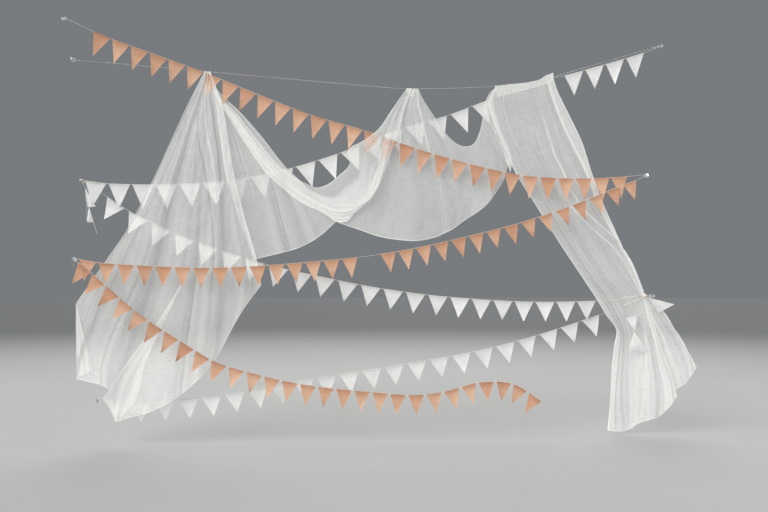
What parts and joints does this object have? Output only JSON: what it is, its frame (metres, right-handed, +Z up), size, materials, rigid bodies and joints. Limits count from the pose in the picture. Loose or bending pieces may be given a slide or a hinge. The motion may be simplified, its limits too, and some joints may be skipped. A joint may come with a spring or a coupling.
{
  "type": "chuppah canopy",
  "caption": "Sheer cloth canopy draped over a line between two trees, tied back at one side, with strings of copper and white pennants.",
  "frame": {"origin": "centre of the flat back of the plate that carries the left end of the line, about 3.9 m above the ground", "axes": "+X along the line from its left end to its right end, +Y to the back, +Z up"},
  "size_m": [6.7159, 0.3568, 4.303],
  "materials": {
    "voile": "sheer white voile",
    "copper_cloth": "coarse copper-coloured linen",
    "white_cloth": "coarse off-white linen",
    "twine": "pale twisted twine",
    "clear_line": "clear line",
    "steel": "zinc-coated steel"
  },
  "bodies": {
    "root": {"bottom_white_garland": "white_cloth", "carrying_line": "clear_line", "hanging_end_tail": "twine", "hanging_garland_end": "white_cloth", "left_bottom_garland_anchor": "steel", "left_copper_garland_anchor": "steel", "left_drape": "voile", "left_drape_corner_fold": "voile", "left_drape_diagonal_fold": "voile", "left_hanging_garland_end": "white_cloth", "left_knot_tail_lower": "twine", "left_knot_tail_upper": "twine", "left_line_anchor": "steel", "left_swag_band": "voile", "left_swag_curtain": "voile", "left_top_garland_anchor": "steel", "left_white_garland_anchor": "steel", "low_copper_garland": "copper_cloth", "middle_copper_garland_left": "copper_cloth", "middle_copper_garland_right": "copper_cloth", "middle_white_garland": "white_cloth", "peak_1_wrap": "voile", "peak_2_front_fold": "voile", "peak_2_wrap": "voile", "right_copper_garland_anchor": "steel", "right_line_anchor": "steel", "right_panel": "voile", "right_panel_top_hem": "voile", "right_swag": "voile", "right_tail": "voile", "tieback_anchor": "steel", "tieback_strand": "twine", "top_copper_garland": "copper_cloth", "top_white_garland_left": "white_cloth", "top_white_garland_right": "white_cloth"}
  },
  "joints": []
}
